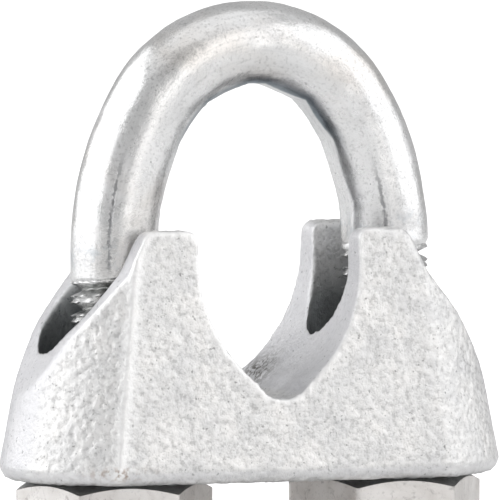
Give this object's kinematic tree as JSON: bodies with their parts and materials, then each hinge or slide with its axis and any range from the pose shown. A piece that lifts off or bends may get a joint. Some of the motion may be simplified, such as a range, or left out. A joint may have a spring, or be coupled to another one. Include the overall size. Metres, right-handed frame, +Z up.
{
  "type": "wire rope clip",
  "caption": "Malleable wire rope clip: a threaded U-bolt holds a cast saddle against the rope, drawn up by hex nuts under the saddle.",
  "frame": {"origin": "bottom centre, midway between the two leg ends of the U-bolt and level with them", "axes": "+X across the legs towards the right leg, +Y along the rope, +Z up from the leg ends to the crown of the U-bolt"},
  "size_m": [0.0286, 0.0124, 0.0306],
  "materials": {
    "bright_zinc_rod": "bright zinc plate, satin",
    "cast_zinc_saddle": "sand-cast malleable iron, pebbly galvanised skin",
    "zinc_nut": "zinc plate, satin"
  },
  "bodies": {
    "u_bolt": {"u_bolt": "bright_zinc_rod"},
    "saddle": {"saddle": "cast_zinc_saddle"},
    "nut_left": {"nut_left": "zinc_nut"},
    "nut_right": {"nut_right": "zinc_nut"}
  },
  "joints": [
    {"name": "saddle_slide", "type": "slide", "parent": "u_bolt", "child": "saddle", "axis": [0, 0, 1], "range_m": [-0.00106, 0.01058]},
    {"name": "nut_left_spin", "type": "hinge", "parent": "saddle", "child": "nut_left", "pos_m": [-0.0079, 0, 0.00447], "axis": [0, 0, 1], "range_deg": [-360, 3600]},
    {"name": "nut_right_spin", "type": "hinge", "parent": "saddle", "child": "nut_right", "pos_m": [0.0079, 0, 0.00447], "axis": [0, 0, 1], "range_deg": [-360, 3600]}
  ],
  "couplings": [
    {"joint": "nut_left_spin", "follows": "saddle_slide", "rad_per_m": 5936.9},
    {"joint": "nut_right_spin", "follows": "saddle_slide", "rad_per_m": 5936.9}
  ]
}
